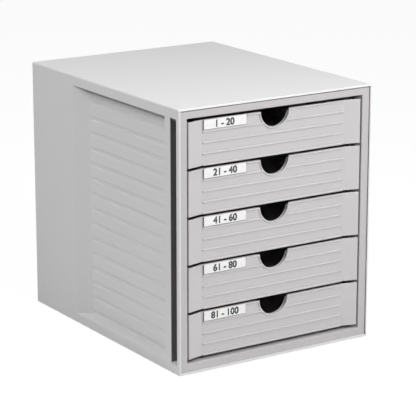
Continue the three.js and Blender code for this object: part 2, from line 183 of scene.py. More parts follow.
class RailSizes(PropertyGroup):
    """Rails inside the case that carry the trays."""

    wall: length("Wall", "Thickness of the runner panel", 0.0018)
    height: length("Height", "Thickness of one rail", 0.002)
    end_gap: length("End gap", "Distance of a rail's ends from the panel's ends", 0.0008)
    below_rim: length("Below rim", "Distance from a tray's rim down to the top of its rail", 0.0031)
    stop_place: length("Stop place", "Distance of the stop block from the panel's front end", 0.0557)
    stop_length: length("Stop length", "Length of the block that stops a tray", 0.006)
    stop_drop: length("Stop drop", "How far the block hangs below its rail", 0.003)


class FrontSizes(PropertyGroup):
    """Shape of one drawer front."""

    hollow: length("Hollow", "How far the middle lies behind the two ends", 0.0052)
    end_zone: length("End zone", "Width of each slanted end", 0.0205)
    wall: length("Wall", "Thickness of the front", 0.0027)
    return_wall: length("Return wall", "Thickness of the walls that run back at each end", 0.002)
    return_length: length("Return", "Length of the walls that run back at each end", 0.012)
    lip_height: length("Lower lip", "Height of the lip along the lower edge", 0.0023)
    ridge_height: length("Ridge height", "Height of one ridge and of the upper lip", 0.0022)
    ridge_proud: length("Ridge proud", "How far ridges, lips and rim stand proud", 0.0014)
    ridge_steps: count("Steps", "Equal steps between the two lips", 4)
    ridge_end_gap: length("Ridge end gap", "Gap between a ridge and the slanted end", 0.0015)
    cut_gap: length("Cut gap", "Distance of the outer cross cuts from the ends of the ridges", 0.0044)
    label_gap: length("Label gap", "Gap between the label pocket and the upper lip", 0.0006)
    notch_radius: length("Notch radius", "Radius of the finger notch", 0.02)
    rim: length("Rim", "Width of the rim round the notch", 0.0024)
    relief: length("Relief", "How much wider the notch's radius is behind its thin edge", 0.0019)
    notch_edge: length("Notch edge", "Thickness of the thin edge of the notch", 0.0016)
    root: length("Root", "How far ridges and hooks reach into the front to join it", 0.0008)
    hook_width: length("Hook width", "Width of one hook on the back", 0.008)
    hook_height: length("Hook height", "Height of one hook", 0.003)
    hook_length: length("Hook length", "How far a hook stands out of the back", 0.0039)
    hook_nib: length("Hook nib", "How far the nib of a hook stands up", 0.0012)
    hook_place: length("Hook place", "Distance of the hooks from the middle", 0.0824)
    hook_low: share("Lower hooks", "Height of the lower hooks as a share of the front", 0.2)
    hook_high: share("Upper hooks", "Height of the upper hooks as a share of the front", 0.48)
    end_radius: length("End edges", "Rounding of the upright edges at the two ends", 0.0011)
    bend_radius: length("Bends", "Rounding of the bends between middle and ends", 0.004)
    crest_radius: length("Crests", "Rounding of the upper edges of ridges and lips, and of the rim", 0.0011)
    crest_foot: length("Crest feet", "Rounding of the lower edges of ridges and lips", 0.0004)
    crest_root: length("Crest roots", "Rounding where ridges, lips and rim leave the front", 0.0002)
    top_radius: length("Upper edge", "Rounding of the upper edge", 0.0007)
    radius: length("Edges", "Rounding of all other edges", 0.0004)


class TraySizes(PropertyGroup):
    """Edges of the trays."""

    wall: length("Wall", "Thickness of walls and floor", 0.0018)
    radius: length("Edges", "Rounding of the rim, flanges and bosses", 0.0004)
    foot_radius: length("Lower edges", "Rounding of the outer edges round the floor", 0.001)
    floor_radius: length("Floor edges", "Rounding between the floor and the walls inside", 0.0014)


class LabelSizes(PropertyGroup):
    """Pockets, cards and their print."""

    radius: length("Edges", "Rounding of the edges of pocket and card", 0.00008)
    letter: length("Figure size", "Size of the printed figures", 0.0115)
    weight: length("Figure weight", "How much the strokes of the figures are thickened", 0.0006)
    lift: length("Print lift", "How far the print stands on the card", 0.00003)
    files: count("Files", "Files that one drawer holds", 20)


class FootSizes(PropertyGroup):
    """Round rubber feet."""

    pad: length("Pad", "Height of the pad below the base", 0.0012)
    stem: length("Stem", "Radius of the stem through the base", 0.0024)
    barb: length("Barb", "Radius of the barb over the base", 0.0034)
    barb_height: length("Barb height", "Height of the barb", 0.0012)
    edge: length("Edge", "Rounding of the pad's lower edge", 0.0007)
    dish: length("Dish", "Radius of the shallow dish under the pad", 0.0042)
    dish_depth: length("Dish depth", "Depth of the dish", 0.0004)


class Finishes(PropertyGroup):
    """Colours and gloss of all finishes. The frame, slot and pocket-edge greys are darker as painted shade.
    """

    case: colour("Case", "Colour of the moulded case", srgb(204, 202, 203))
    # painted shade: the frame is a little darker than the case, standing in for the shade in the mouth
    frame: colour("Frame", "Colour of the front frame", srgb(198, 195, 196))
    front: colour("Fronts", "Colour of the drawer fronts", srgb(205, 202, 203))
    # painted shade: a darker grey for the slots and under the recesses' tops, standing in for their shadow
    slot_shade_grey: colour("Lining", "Colour in the slots and under the recesses' tops", srgb(122, 119, 120))
    inside: colour("Inside", "Colour of the runner panels", srgb(180, 179, 179))
    rubber: colour("Feet", "Colour of the rubber feet", srgb(48, 48, 48))
    card: colour("Cards", "Colour of the label cards", srgb(250, 250, 249))
    ink: colour("Ink", "Colour of the print", srgb(20, 20, 22))
    clear: colour("Clear plastic", "Colour of the label pockets", srgb(240, 243, 243))
    # painted shade: the dark grey on the pockets' left sides stands in for their shadow
    clear_edge: colour("Pocket edges", "Colour that the pockets' edges gather", srgb(92, 88, 90))
    gloss: share("Roughness", "Roughness of the moulded plastic", 0.5)


class StageSizes(PropertyGroup):
    """Camera and light."""

    azimuth: angle("Azimuth", "The camera's turn round the box", -33.08)
    elevation: angle("Elevation", "The camera's height as an angle", 14.92)
    distance: length("Distance", "Distance from the camera to the aim point", 2.4968)
    aim_x: length("Aim across", "Place across of the point that the camera looks at", 0.016)
    aim_z: length("Aim height", "Height of the point that the camera looks at", 0.1443)
    lens: FloatProperty(name="Lens", description="Focal length in millimetres", default=170.9, min=1)
    floor: length("Floor", "Width of the floor", 60.0)
    floor_paint: share("Floor paint", "Grey of the floor as it lights the box", 0.8)
    floor_shade: share("Floor shade", "Grey of the floor as the camera sees its shadows", 0.12)
    floor_glow: share("Floor glow", "Glow of the floor as the camera sees it", 0.94)
    sky: power("Sky", "Strength of the even light from all round", 0.02)
    above: power("Light above", "Power in watts of the broad light above", 8.5)
    above_size: length("Size above", "Width of the light above", 2.0)
    above_place: spot("Place above", "Place of the light above", (0, -0.1, 2.2))
    before: power("Light in front", "Power in watts of the light in front", 14.4)
    before_size: length("Size in front", "Width of the light in front", 0.6)
    before_place: spot("Place in front", "Place of the light in front", (0.2, -1.18, 1.03))
    beside: power("Light at the left", "Power in watts of the broad light at the left", 21.5)
    beside_size: length("Size at the left", "Width of the light at the left", 1.0)
    beside_place: spot("Place at the left", "Place of the light at the left", (-1.6, 0, 1.76))


class DrawerBox(PropertyGroup):
    """All settings of the drawer box."""

    case: PointerProperty(type=CaseSizes)
    recess: PointerProperty(type=RecessSizes)
    rails: PointerProperty(type=RailSizes)
    front: PointerProperty(type=FrontSizes)
    tray: PointerProperty(type=TraySizes)
    label: PointerProperty(type=LabelSizes)
    foot: PointerProperty(type=FootSizes)
    finish: PointerProperty(type=Finishes)
    stage: PointerProperty(type=StageSizes)


def settings():
    """The settings of the scene's drawer box."""
    return bpy.context.scene.drawer_box


def arithmetic(operation, swapped=False):
    """An arithmetic operator of a socket, which adds a math node to its tree."""
    def work(self, other):
        values = (other, self) if swapped else (self, other)
        return self.tree.math(operation, *values)

    return work


class Sock:
    """A node socket that ordinary arithmetic works on, in material and geometry trees alike."""

    def __init__(self, tree, socket):
        self.tree = tree
        self.socket = socket

    __add__ = arithmetic("ADD")
    __radd__ = arithmetic("ADD", swapped=True)
    __sub__ = arithmetic("SUBTRACT")
    __rsub__ = arithmetic("SUBTRACT", swapped=True)
    __mul__ = arithmetic("MULTIPLY")
    __truediv__ = arithmetic("DIVIDE")

    def __neg__(self):
        return self * -1

    def __abs__(self):
        return self.tree.math("ABSOLUTE", self)


class NodeTree:
    """A node tree that is filled one node at a time."""

    def __init__(self, tree):
        self.tree = tree

    def add(self, kind, options=None, values=None, out=0):
        """Adds a node, sets its options and fills or links its inputs. Returns one of its
        outputs, or the node itself."""
        node = self.tree.nodes.new(kind)
        for name, option in (options or {}).items():
            setattr(node, name, option)
        for key, value in (values or {}).items():
            self.feed(node.inputs[key], value)
        return node if out is None else Sock(self, node.outputs[out])

    def outputs(self, kind, *names, **values):
        """Adds a node and returns several of its outputs."""
        node = self.add(kind, values=values, out=None)
        return [Sock(self, node.outputs[name]) for name in names]

    def feed(self, socket, value):
        """Links one socket or several to an input, or sets the input's own value."""
        if isinstance(value, Sock):
            self.tree.links.new(value.socket, socket)
        elif isinstance(value, list) and all(isinstance(entry, Sock) for entry in value):
            for entry in value:
                self.tree.links.new(entry.socket, socket)
        else:
            socket.default_value = value

    def math(self, operation, *values):
        """Works out one number from one or two others."""
        return self.add("ShaderNodeMath", {"operation": operation}, dict(enumerate(values)))

    def vector(self, x, y, z):
        """Puts three numbers together as one vector."""
        return self.add("ShaderNodeCombineXYZ", values={"X": x, "Y": y, "Z": z})


class ShapeTree(NodeTree):
    """A Geometry Nodes tree with named inputs that ends in realised instances with one finish."""

    def __init__(self, name, lengths, counts=(), texts=()):
        super().__init__(bpy.data.node_groups.new(name, "GeometryNodeTree"))
        kinds = {"Float": lengths, "Int": counts, "String": texts, "Material": ("Finish",)}
        for kind, labels in {"Geometry": ("Geometry",), **kinds}.items():
            for label in labels:
                self.tree.interface.new_socket(label, in_out="INPUT", socket_type=f"NodeSocket{kind}")
        self.tree.interface.new_socket("Geometry", in_out="OUTPUT", socket_type="NodeSocketGeometry")
        start = self.tree.nodes.new("NodeGroupInput")
        self.given = {socket.name: Sock(self, socket) for socket in start.outputs if socket.name}

    def __getitem__(self, name):
        return self.given[name]

    def node(self, kind, options=None, **values):
        """Adds a node of the Geometry Nodes kind and returns its first output."""
        return self.add(f"GeometryNode{kind}", options, values)

    def block(self, corner, opposite):
        """A rectangular block between two opposite corners."""
        size = [abs(b - a) for a, b in zip(corner, opposite)]
        centre = [(a + b) * 0.5 for a, b in zip(corner, opposite)]
        cube = self.node("MeshCube", Size=self.vector(*size))
        return self.node("Transform", Geometry=cube, Translation=self.vector(*centre))

    def bar(self, radius, near, far, x, z):
        """A round bar that lies along Y from one place to another."""
        bar = self.node("MeshCylinder", Vertices=ROUND_SIDES, Radius=radius, Depth=abs(far - near))
        centre = self.vector(x, (near + far) * 0.5, z)
        turn = (math.pi / 2, math.pi / ROUND_SIDES, 0)
        return self.node("Transform", Geometry=bar, Rotation=turn, Translation=centre)

    def column(self, shape, number, first, step):
        """Copies of a shape, one above the other."""
        start, offset = self.vector(0, 0, first), self.vector(0, 0, step)
        line = {"Count": number, "Start Location": start, "Offset": offset}
        points = self.node("MeshLine", **line)
        copies = self.node("InstanceOnPoints", Points=points, Instance=shape)
        return self.node("RealizeInstances", Geometry=copies)

    def combine(self, operation, shapes):
        """Works out one solid from several."""
        options = {"operation": operation, "solver": "EXACT"}
        return self.add("GeometryNodeMeshBoolean", options, shapes)

    def unite(self, *shapes):
        """All the shapes as one."""
        return self.combine("UNION", {1: list(shapes)})

    def cut(self, shape, *cutters):
        """What the cutters leave of a shape."""
        return self.combine("DIFFERENCE", {0: shape, 1: list(cutters)})

    def end(self, shape):
        """Realises what is left of the instances, gives the finish and closes the tree."""
        real = self.node("RealizeInstances", Geometry=shape)
        made = self.node("SetMaterial", Geometry=real, Material=self["Finish"])
        self.add("NodeGroupOutput", values={"Geometry": made}, out=None)
        return self.tree


def groove_tree():
    """Cuts a column of level grooves into the floor of a side recess. Their rear ends slant, by
    the metres along Y that Slant gives for each metre of depth."""
    lengths = ("Floor", "Deep", "Start", "End", "Slant", "First", "Pitch", "Height")
    tree = ShapeTree("recess_grooves", lengths, ("Grooves",))
    outside = tree["Floor"] * 2 - tree["Deep"]
    cutter = tree.block((outside, tree["Start"], 0), (tree["Deep"], tree["End"], tree["Height"]))
    x, y = tree.outputs("ShaderNodeSeparateXYZ", "X", "Y", Vector=tree.node("InputPosition"))
    at_rear = tree.math("GREATER_THAN", y, (tree["Start"] + tree["End"]) * 0.5)
    offset = tree.vector(0, at_rear * tree["Slant"] * (x - tree["Floor"]), 0)
    cutter = tree.node("SetPosition", Geometry=cutter, Offset=offset)
    column = tree.column(cutter, tree["Grooves"], tree["First"], tree["Pitch"])
    return tree.end(tree.cut(tree["Geometry"], column))


def rail_tree():
    """Adds a rail and a stop block for each drawer to the wall of a runner panel."""
    lengths = (
        "Edge", "Inside", "Front", "Back", "First", "Pitch", "Height", "Stop", "Stop length", "Stop drop",
    )
    tree = ShapeTree("runner_rails", lengths, ("Rails",))
    rail = tree.block((tree["Edge"], tree["Front"], 0), (tree["Inside"], tree["Back"], tree["Height"]))
    stop_low = (tree["Edge"], tree["Stop"], -tree["Stop drop"])
    stop_high = (tree["Inside"], tree["Stop"] + tree["Stop length"], tree["Height"] * 0.5)
    unit = tree.unite(rail, tree.block(stop_low, stop_high))
    rails = tree.column(unit, tree["Rails"], tree["First"], tree["Pitch"])
    return tree.end(tree.unite(tree["Geometry"], rails))


def front_tree():
    """Adds ridges, lips, rim and hooks to the plain wall of a drawer front and cuts its notch."""
    lengths = (
        "Face", "Back", "Bottom", "Top", "Half", "Label right", "Lip height", "Ridge height",
        "Ridge proud", "Root", "Notch radius", "Rim", "Relief", "Notch edge", "Hook place",
        "Hook width", "Hook height", "Hook length", "Hook nib", "Hook low", "Hook high",
    )
    tree = ShapeTree("front_relief", lengths, ("Ridge steps",))
    face, back, bottom, top, half, label_right, lip, ridge = (tree[name] for name in lengths[:8])
    proud = face - tree["Ridge proud"]
    root = face + tree["Root"]
    tall = top - bottom
    step = (tall - lip) / tree["Ridge steps"]
    bar = tree.block((-half, proud, -ridge), (half, root, 0))
    parts = [
        tree.block((-half, proud, bottom), (half, root, bottom + lip)),
        tree.column(bar, tree["Ridge steps"] - 1, bottom + lip + step, step),
        tree.block((label_right, proud, top - ridge), (half, root, top)),
        tree.bar(tree["Notch radius"] + tree["Rim"], proud, root, 0, top),
    ]
    hook_end = back + tree["Hook length"]
    nib_start = hook_end - tree["Hook height"] * 0.5
    nib_top = tree["Hook height"] + tree["Hook nib"]
    rise = tall * (tree["Hook high"] - tree["Hook low"])
    for side in SIDES.values():
        left = tree["Hook place"] * side - tree["Hook width"] * 0.5
        right = left + tree["Hook width"]
        arm = tree.block((left, back - tree["Root"], 0), (right, hook_end, tree["Hook height"]))
        nib = tree.block((left, nib_start, tree["Root"]), (right, hook_end, nib_top))
        hook = tree.unite(arm, nib)
        parts.append(tree.column(hook, HOOK_ROWS, bottom + tall * tree["Hook low"], rise))
    solid = tree.unite(tree["Geometry"], *parts)
    ahead, behind = face - tall, face + tall
    notch = tree.bar(tree["Notch radius"], ahead, behind, 0, top)
    relief = tree.bar(tree["Notch radius"] + tree["Relief"], proud + tree["Notch edge"], behind, 0, top)
    above = tree.block((-tall, ahead, top), (tall, behind, top + tall))
    return tree.end(tree.cut(solid, notch, relief, above))


def figures_tree():
    """Makes a line of figures as thin closed solids that face forward, centred on the origin."""
    tree = ShapeTree("card_figures", ("Letter", "Weight", "Depth"), texts=("Text",))
    outlines = tree.node("StringToCurves", String=tree["Text"], Size=tree["Letter"])
    outlines = tree.node("RealizeInstances", Geometry=outlines)
    outlines = tree.node("SetSplineResolution", Geometry=outlines, Resolution=FIGURE_STEPS)
    outlines = tree.node("ResampleCurve", {"mode": "EVALUATED"}, Curve=outlines)
    outlines = tree.node("SetCurveNormal", {"mode": "Z_UP"}, Curve=outlines)
    outward = {0: tree.node("InputNormal"), "Scale": tree["Weight"]}
    offset = tree.add("ShaderNodeVectorMath", {"operation": "SCALE"}, outward)
    outlines = tree.node("SetPosition", Geometry=outlines, Offset=offset)
    flat = tree.node("FillCurve", Curve=outlines)
    raised = tree.node("ExtrudeMesh", Mesh=flat, Individual=False, **{"Offset Scale": tree["Depth"]})
    back = tree.node("FlipFaces", Mesh=flat)
    whole = tree.node("JoinGeometry", Geometry=[raised, back])
    whole = tree.node("MergeByDistance", Geometry=whole, Distance=FINE_JOIN)
    low, high = tree.outputs("GeometryNodeBoundBox", "Min", "Max", Geometry=whole)
    middle = tree.add("ShaderNodeVectorMath", {"operation": "ADD"}, {0: low, 1: high})
    shift = tree.add("ShaderNodeVectorMath", {"operation": "SCALE"}, {0: middle, "Scale": -0.5})
    whole = tree.node("Transform", Geometry=whole, Translation=shift)
    return tree.end(tree.node("Transform", Geometry=whole, Rotation=(math.pi / 2, 0, 0)))


class Finish(NodeTree):
    """A material with one Principled shader, filled by the sockets of its tree."""

    def __init__(self, name):
        self.material = bpy.data.materials.new(name)
        self.material.use_nodes = True
        super().__init__(self.material.node_tree)
        self.tree.nodes.clear()
        self.shader = self.tree.nodes.new("ShaderNodeBsdfPrincipled")
        surface = Sock(self, self.shader.outputs["BSDF"])
        self.add("ShaderNodeOutputMaterial", values={"Surface": surface}, out=None)
        self.place, = self.outputs("ShaderNodeTexCoord", "Object")

    def set(self, name, value):
        """Feeds one input of the shader."""
        self.feed(self.shader.inputs[name], value)

    def noise(self, scale, detail=3, roughness=0.5, stretch=(1, 1, 1)):
        """Noise from 0 to 1 at a number of cells per metre, read on the piece's own place."""
        place = self.add("ShaderNodeMapping", values={"Vector": self.place, "Scale": stretch})
        values = {"Vector": place, "Scale": scale, "Detail": detail, "Roughness": roughness}
        return self.add("ShaderNodeTexNoise", {"noise_dimensions": "3D"}, values)

    def shade(self, base, amount, factor):
        """The base colour, darker and lighter by an amount as a factor runs from 0 to 1."""
        low = [channel * (1 - amount) for channel in base] + [1]
        high = [min(1, channel * (1 + amount)) for channel in base] + [1]
        return self.add("ShaderNodeMix", {"data_type": "RGBA"}, {0: factor, 6: low, 7: high}, out=2)

    def bump(self, height, distance):
        """Feeds the shader's normal with a relief of a real depth in metres."""
        values = {"Height": height, "Distance": distance, "Strength": 1.0}
        self.set("Normal", self.add("ShaderNodeBump", values=values))


def between(factor, low, high):
    """Runs from low to high as a factor runs from 0 to 1."""
    return factor * (high - low) + low


def moulded_plastic(name, base, roughness, tone=0.012):
    """Satin moulded plastic: faint clouds of tone, a fine spark-eroded grain and uneven gloss."""
    cloud_tone, grain_tone = 0.7, 0.3
    cloud_gloss, grain_gloss = 0.05, 0.03
    glossiest = roughness - (cloud_gloss + grain_gloss) / 2
    finish = Finish(name)
    clouds = finish.noise(scale=14)
    grain = finish.noise(scale=1500, roughness=0.6)
    finish.set("Base Color", finish.shade(base, tone, clouds * cloud_tone + grain * grain_tone))
    finish.set("Roughness", clouds * cloud_gloss + grain * grain_gloss + glossiest)
    finish.bump(grain, distance=0.000012)


def even_finish(name, base, tone, roughest, glossiest, relief=0, **cells):
    """A finish with one fine structure all over, which varies its tone and gloss. A relief is
    its depth in metres. Returns the finish and the noise that makes the structure."""
    finish = Finish(name)
    noise = finish.noise(**cells)
    finish.set("Base Color", finish.shade(base, tone, noise))
    finish.set("Roughness", between(noise, glossiest, roughest))
    if relief:
        finish.bump(noise, relief)
    return finish, noise


def rubber(name, base):
    """Matt rubber with a dusty skin."""
    skin = {"scale": 900, "detail": 4, "roughness": 0.65}
    even_finish(name, base, tone=0.15, roughest=0.9, glossiest=0.75, relief=0.00004, **skin)


def card(name, base):
    """White card with short paper fibres."""
    fibres = {"scale": 1100, "detail": 5, "roughness": 0.7, "stretch": (0.35, 1, 1)}
    even_finish(name, base, tone=0.015, roughest=0.85, glossiest=0.7, relief=0.000015, **fibres)


def ink(name, base):
    """Black print that soaks a little into the card."""
    even_finish(name, base, tone=0.25, roughest=0.6, glossiest=0.5, scale=2500)


def clear_plastic(name, base, alpha):
    """Clear plastic: a veil of a given strength with a little haze."""
    most_haze = 0.03
    finish, haze = even_finish(name, base, tone=0.02, roughest=0.16, glossiest=0.1, scale=220)
    finish.set("Alpha", between(haze, alpha, alpha + most_haze))


def material(name):
    """A finish that the finishes operator has made."""
    if name not in bpy.data.materials:
        raise RuntimeError(f"the finish {name} isn't made yet")
    return bpy.data.materials[name]


def flatten(copy, cuts=()):
    """Joins corners that lie together and makes each flat one face. A flat with a hole in it is
    parted by cuts, each a plane across an axis, so that no other edge has to part it."""
    bmesh.ops.remove_doubles(copy, verts=copy.verts, dist=JOIN)
    bmesh.ops.dissolve_degenerate(copy, edges=copy.edges, dist=JOIN)
    for axis, place in cuts:
        across = Vector((axis == X, axis == Y, axis == Z))
        whole = [*copy.verts, *copy.edges, *copy.faces]
        plane = {"plane_co": across * place, "plane_no": across}
        for part in bmesh.ops.bisect_plane(copy, geom=whole, dist=JOIN, **plane)["geom_cut"]:
            if isinstance(part, bmesh.types.BMEdge):
                part.seam = True
    bmesh.ops.dissolve_limit(
        copy, angle_limit=FLAT_ANGLE, verts=copy.verts, edges=copy.edges, delimit={"SEAM"}
    )


def packed(node):
    """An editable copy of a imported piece, with its corners joined and its flats made whole."""
    copy = bmesh.new()
    copy.from_mesh(frame["nodes"][node].data)
    flatten(copy)
    return copy


def shift_plane(copy, axis, place, new_place):
    """Moves every corner that lies on a plane across an axis to another plane."""
    for vert in copy.verts:
        if abs(vert.co[axis] - place) < TOUCH:
            vert.co[axis] = new_place


def fillet(corners):
    """An outline in plan whose corners, each a place and a radius, are rounded with arcs."""
    outline = []
    for i, (x, y, radius) in enumerate(corners):
        here = Vector((x, y))
        before = (Vector(corners[i - 1][:2]) - here).normalized()
        after = (Vector(corners[(i + 1) % len(corners)][:2]) - here).normalized()
        turn = math.pi - before.angle(after)
        side = 1 if before.x * after.y < before.y * after.x else -1
        middle = here + (before + after).normalized() * (radius / math.cos(turn / 2))
        start = here + before * (radius * math.tan(turn / 2)) - middle
        steps = max(1, math.ceil(turn / ARC_STEP))
        for step in range(steps + 1):
            outline.append(middle + Matrix.Rotation(side * turn * step / steps, 2) @ start)
    return outline


def prism(outline, low, high):
    """A closed upright prism over an outline in plan."""
    solid = bmesh.new()
    floor = solid.faces.new([solid.verts.new((*point, low)) for point in outline])
    grown = bmesh.ops.extrude_face_region(solid, geom=[floor])["geom"]
    lifted = [part for part in grown if isinstance(part, bmesh.types.BMVert)]
    bmesh.ops.translate(solid, vec=(0, 0, high - low), verts=lifted)
    bmesh.ops.recalc_face_normals(solid, faces=solid.faces)
    return solid


def revolve(profile, centre):
    """A closed round solid from a profile of radii and heights that starts and ends on the axis."""
    solid = bmesh.new()
    rings = []
    for radius, height in profile:
        turns = [math.tau * step / FOOT_SIDES for step in range(FOOT_SIDES)] if radius else [0]
        places = [(centre.x + radius * math.cos(t), centre.y + radius * math.sin(t), height) for t in turns]
        rings.append([solid.verts.new(place) for place in places])
    for low, high in zip(rings, rings[1:]):
        for i in range(FOOT_SIDES):
            j = i + 1
            ring = [low[i % len(low)], low[j % len(low)], high[j % len(high)], high[i % len(high)]]
            solid.faces.new(list(dict.fromkeys(ring)))
    return solid


def lies_on(edge, planes):
    """Whether both ends of an edge lie on all the planes; left and right count alike."""
    for axis, place in planes:
        for vert in edge.verts:
            found = abs(vert.co[axis]) if axis == X else vert.co[axis]
            if abs(found - place) > TOUCH:
                return False
    return True


def new_object(name, copy, finish):
    """A scene object from an edited mesh."""
    mesh = bpy.data.meshes.new(name)
    copy.to_mesh(mesh)
    copy.free()
    mesh.materials.append(material(finish))
    obj = bpy.data.objects.new(name, mesh)
    bpy.context.scene.collection.objects.link(obj)
    return obj


def apply_modifiers(obj):
    """Turns an object and its modifiers into a plain mesh."""
    graph = bpy.context.evaluated_depsgraph_get()
    whole = obj.evaluated_get(graph)
    mesh = bpy.data.meshes.new_from_object(whole, preserve_all_data_layers=True, depsgraph=graph)
    obj.modifiers.clear()
    obj.data = mesh
    mesh.name = obj.name
    if not mesh.polygons:
        raise RuntimeError(f"{obj.name} came out empty")


def run_tree(obj, group, finish, sizes, **given):
    """Runs a Geometry Nodes tree on an object. Each of its inputs takes the value that is given
    under its name, or else the size of that name."""
    given["finish"] = material(finish)
    modifier = obj.modifiers.new(group.name, "NODES")
    modifier.node_group = group
    for item in group.interface.items_tree:
        name = item.name.lower().replace(" ", "_")
        if item.in_out == "INPUT" and name != "geometry":
            modifier[item.identifier] = given[name] if name in given else getattr(sizes, name)
    apply_modifiers(obj)


def soften(obj, radius, rules=(), cuts=()):
    """Rounds the edges of an object. An edge takes the radius of the first rule whose planes it
    lies on, or else the common one. The result is a closed mesh whose flats shade flat."""
    copy = bmesh.new()
    copy.from_mesh(obj.data)
    flatten(copy, cuts)
    largest = max([radius, *(value for planes, value in rules)])
    layer = copy.edges.layers.float.new("bevel_weight_edge")
    for edge in copy.edges:
        if edge.calc_face_angle(0) > EDGE_ANGLE:
            found = [value for planes, value in rules if lies_on(edge, planes)]
            edge[layer] = (found[0] if found else radius) / largest
    copy.to_mesh(obj.data)
    copy.free()
    bevel = obj.modifiers.new("soft edges", "BEVEL")
    bevel.width = largest
    bevel.segments = BEVEL_STEPS
    bevel.limit_method = "WEIGHT"
    bevel.use_clamp_overlap = False
    bevel.miter_outer = "MITER_ARC"
    apply_modifiers(obj)
    close_and_shade(obj)


def close_and_shade(obj):
    """Tests that a mesh is closed, turns its faces outward and lets its flats shade flat."""
    copy = bmesh.new()
    copy.from_mesh(obj.data)
    bmesh.ops.remove_doubles(copy, verts=copy.verts, dist=FINE_JOIN)
    bmesh.ops.recalc_face_normals(copy, faces=copy.faces)
    if copy.calc_volume(signed=True) < 0:
        bmesh.ops.reverse_faces(copy, faces=copy.faces)
    open_edges = sum(len(edge.link_faces) % 2 for edge in copy.edges)
    if open_edges:
        raise RuntimeError(f"{obj.name} has {open_edges} open edges")
    for face in copy.faces:
        face.smooth = True
    for edge in copy.edges:
        edge.smooth = edge.calc_face_angle(0) < SHARP_ANGLE
    copy.to_mesh(obj.data)
    copy.free()
    weighted = obj.modifiers.new("flats", "WEIGHTED_NORMAL")
    weighted.weight = FLAT_WEIGHT
    weighted.keep_sharp = True
    apply_modifiers(obj)


def middle(node):
    """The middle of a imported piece's box."""
    low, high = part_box(node)
    return (low + high) / 2


def deliver(obj, body, slot, *nodes):
    """Hands a finished piece to the frame: attaches it to its body and hides the nodes it stands for. The
    slot is not used.
    """
    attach(obj, body)
    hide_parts(*nodes)


def deliver_drawers(obj, part, slot):
    """Repeats a piece made for the first drawer on all the others and hands them all over."""
    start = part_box(f"drawer_1_{part}")[0].z
    for number in DRAWERS:
        node = f"drawer_{number}_{part}"
        piece = obj
        if number > 1:
            mesh = obj.data.copy()
            mesh.transform(Matrix.Translation((0, 0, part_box(node)[0].z - start)))
            mesh.name = f"{node}_finished"
            piece = bpy.data.objects.new(mesh.name, mesh)
            bpy.context.scene.collection.objects.link(piece)
        deliver(piece, f"drawer_{number}", slot, node)


def soft_copy(node, finish, radius, rules=(), moves=(), cuts=()):
    """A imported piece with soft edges, after some of its planes have moved to close seams."""
    copy = packed(node)
    for axis, place, new_place in moves:
        shift_plane(copy, axis, place, new_place)
    obj = new_object(f"{node}_finished", copy, finish)
    soften(obj, radius, rules, [(X, middle(node).x), *cuts])
    return obj


class DRAWERBOX_OT_finishes(Operator):
    """Make the finishes of all pieces"""

    bl_idname = "drawer_box.finishes"
    bl_label = "Finishes"

    def execute(self, context):
        finish = settings().finish
        moulded_plastic("case_plastic", finish.case, finish.gloss)
        # the frame's grey is darker than the case's as painted shade
        moulded_plastic("frame_plastic", finish.frame, finish.gloss)
        moulded_plastic("front_plastic", finish.front, finish.gloss)
        # painted shade for the slots and the recesses' tops
        moulded_plastic("slot_lining", finish.slot_shade_grey, finish.gloss, tone=0.05)
        moulded_plastic("inner_plastic", finish.inside, finish.gloss, tone=0.03)
        rubber("foot_rubber", finish.rubber)
        card("label_card", finish.card)
        ink("label_ink", finish.ink)
        clear_plastic("pocket_window", finish.clear, alpha=0.04)
        # painted shade for the pockets' left sides
        clear_plastic("pocket_edge", finish.clear_edge, alpha=0.8)
        return {"FINISHED"}


class DRAWERBOX_OT_shell(Operator):
    """Make the top cover, the base and the back panel"""

    bl_idname = "drawer_box.shell"
    bl_label = "Shell"

    def execute(self, context):
        case = settings().case
        low, high = CAD_BOX
        outer, front, rear = (X, high.x), (Y, low.y), (Y, high.y)
        base_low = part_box("base_panel")[0].z
        base_top = base_low + case.wall
        under = high.z - case.wall
        corners = [((outer, front), case.outer_radius), ((outer, rear), case.outer_radius)]
        lip = [((front, (Z, under)), case.lip_radius), ((front, (Z, base_top)), case.lip_radius)]
        rim = [(((Z, high.z),), case.outer_radius), (((Z, base_low),), case.mouth_radius)]
        feet = [(Y, middle(f"foot_{end}_left").y) for end in ("front", "rear")]
        for node in ("top_cover", "base_panel"):
            piece = soft_copy(node, "case_plastic", case.seam_radius, corners + lip + rim, cuts=feet)
            deliver(piece, "case", "case_plastic", node)
        back_low, back_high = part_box("back_panel")
        bottom, top = base_top + case.seam_gap, under - case.seam_gap
        moves = [(Z, back_low.z, bottom), (Z, back_high.z, top)]
        seams = [(Y, back_low.y), outer, (Z, bottom), (Z, top)]
        rules = corners + [((plane,), case.seam_radius) for plane in seams]
        piece = soft_copy("back_panel", "case_plastic", case.mouth_radius, rules, moves)
        deliver(piece, "case", "case_plastic", "back_panel")
        return {"FINISHED"}


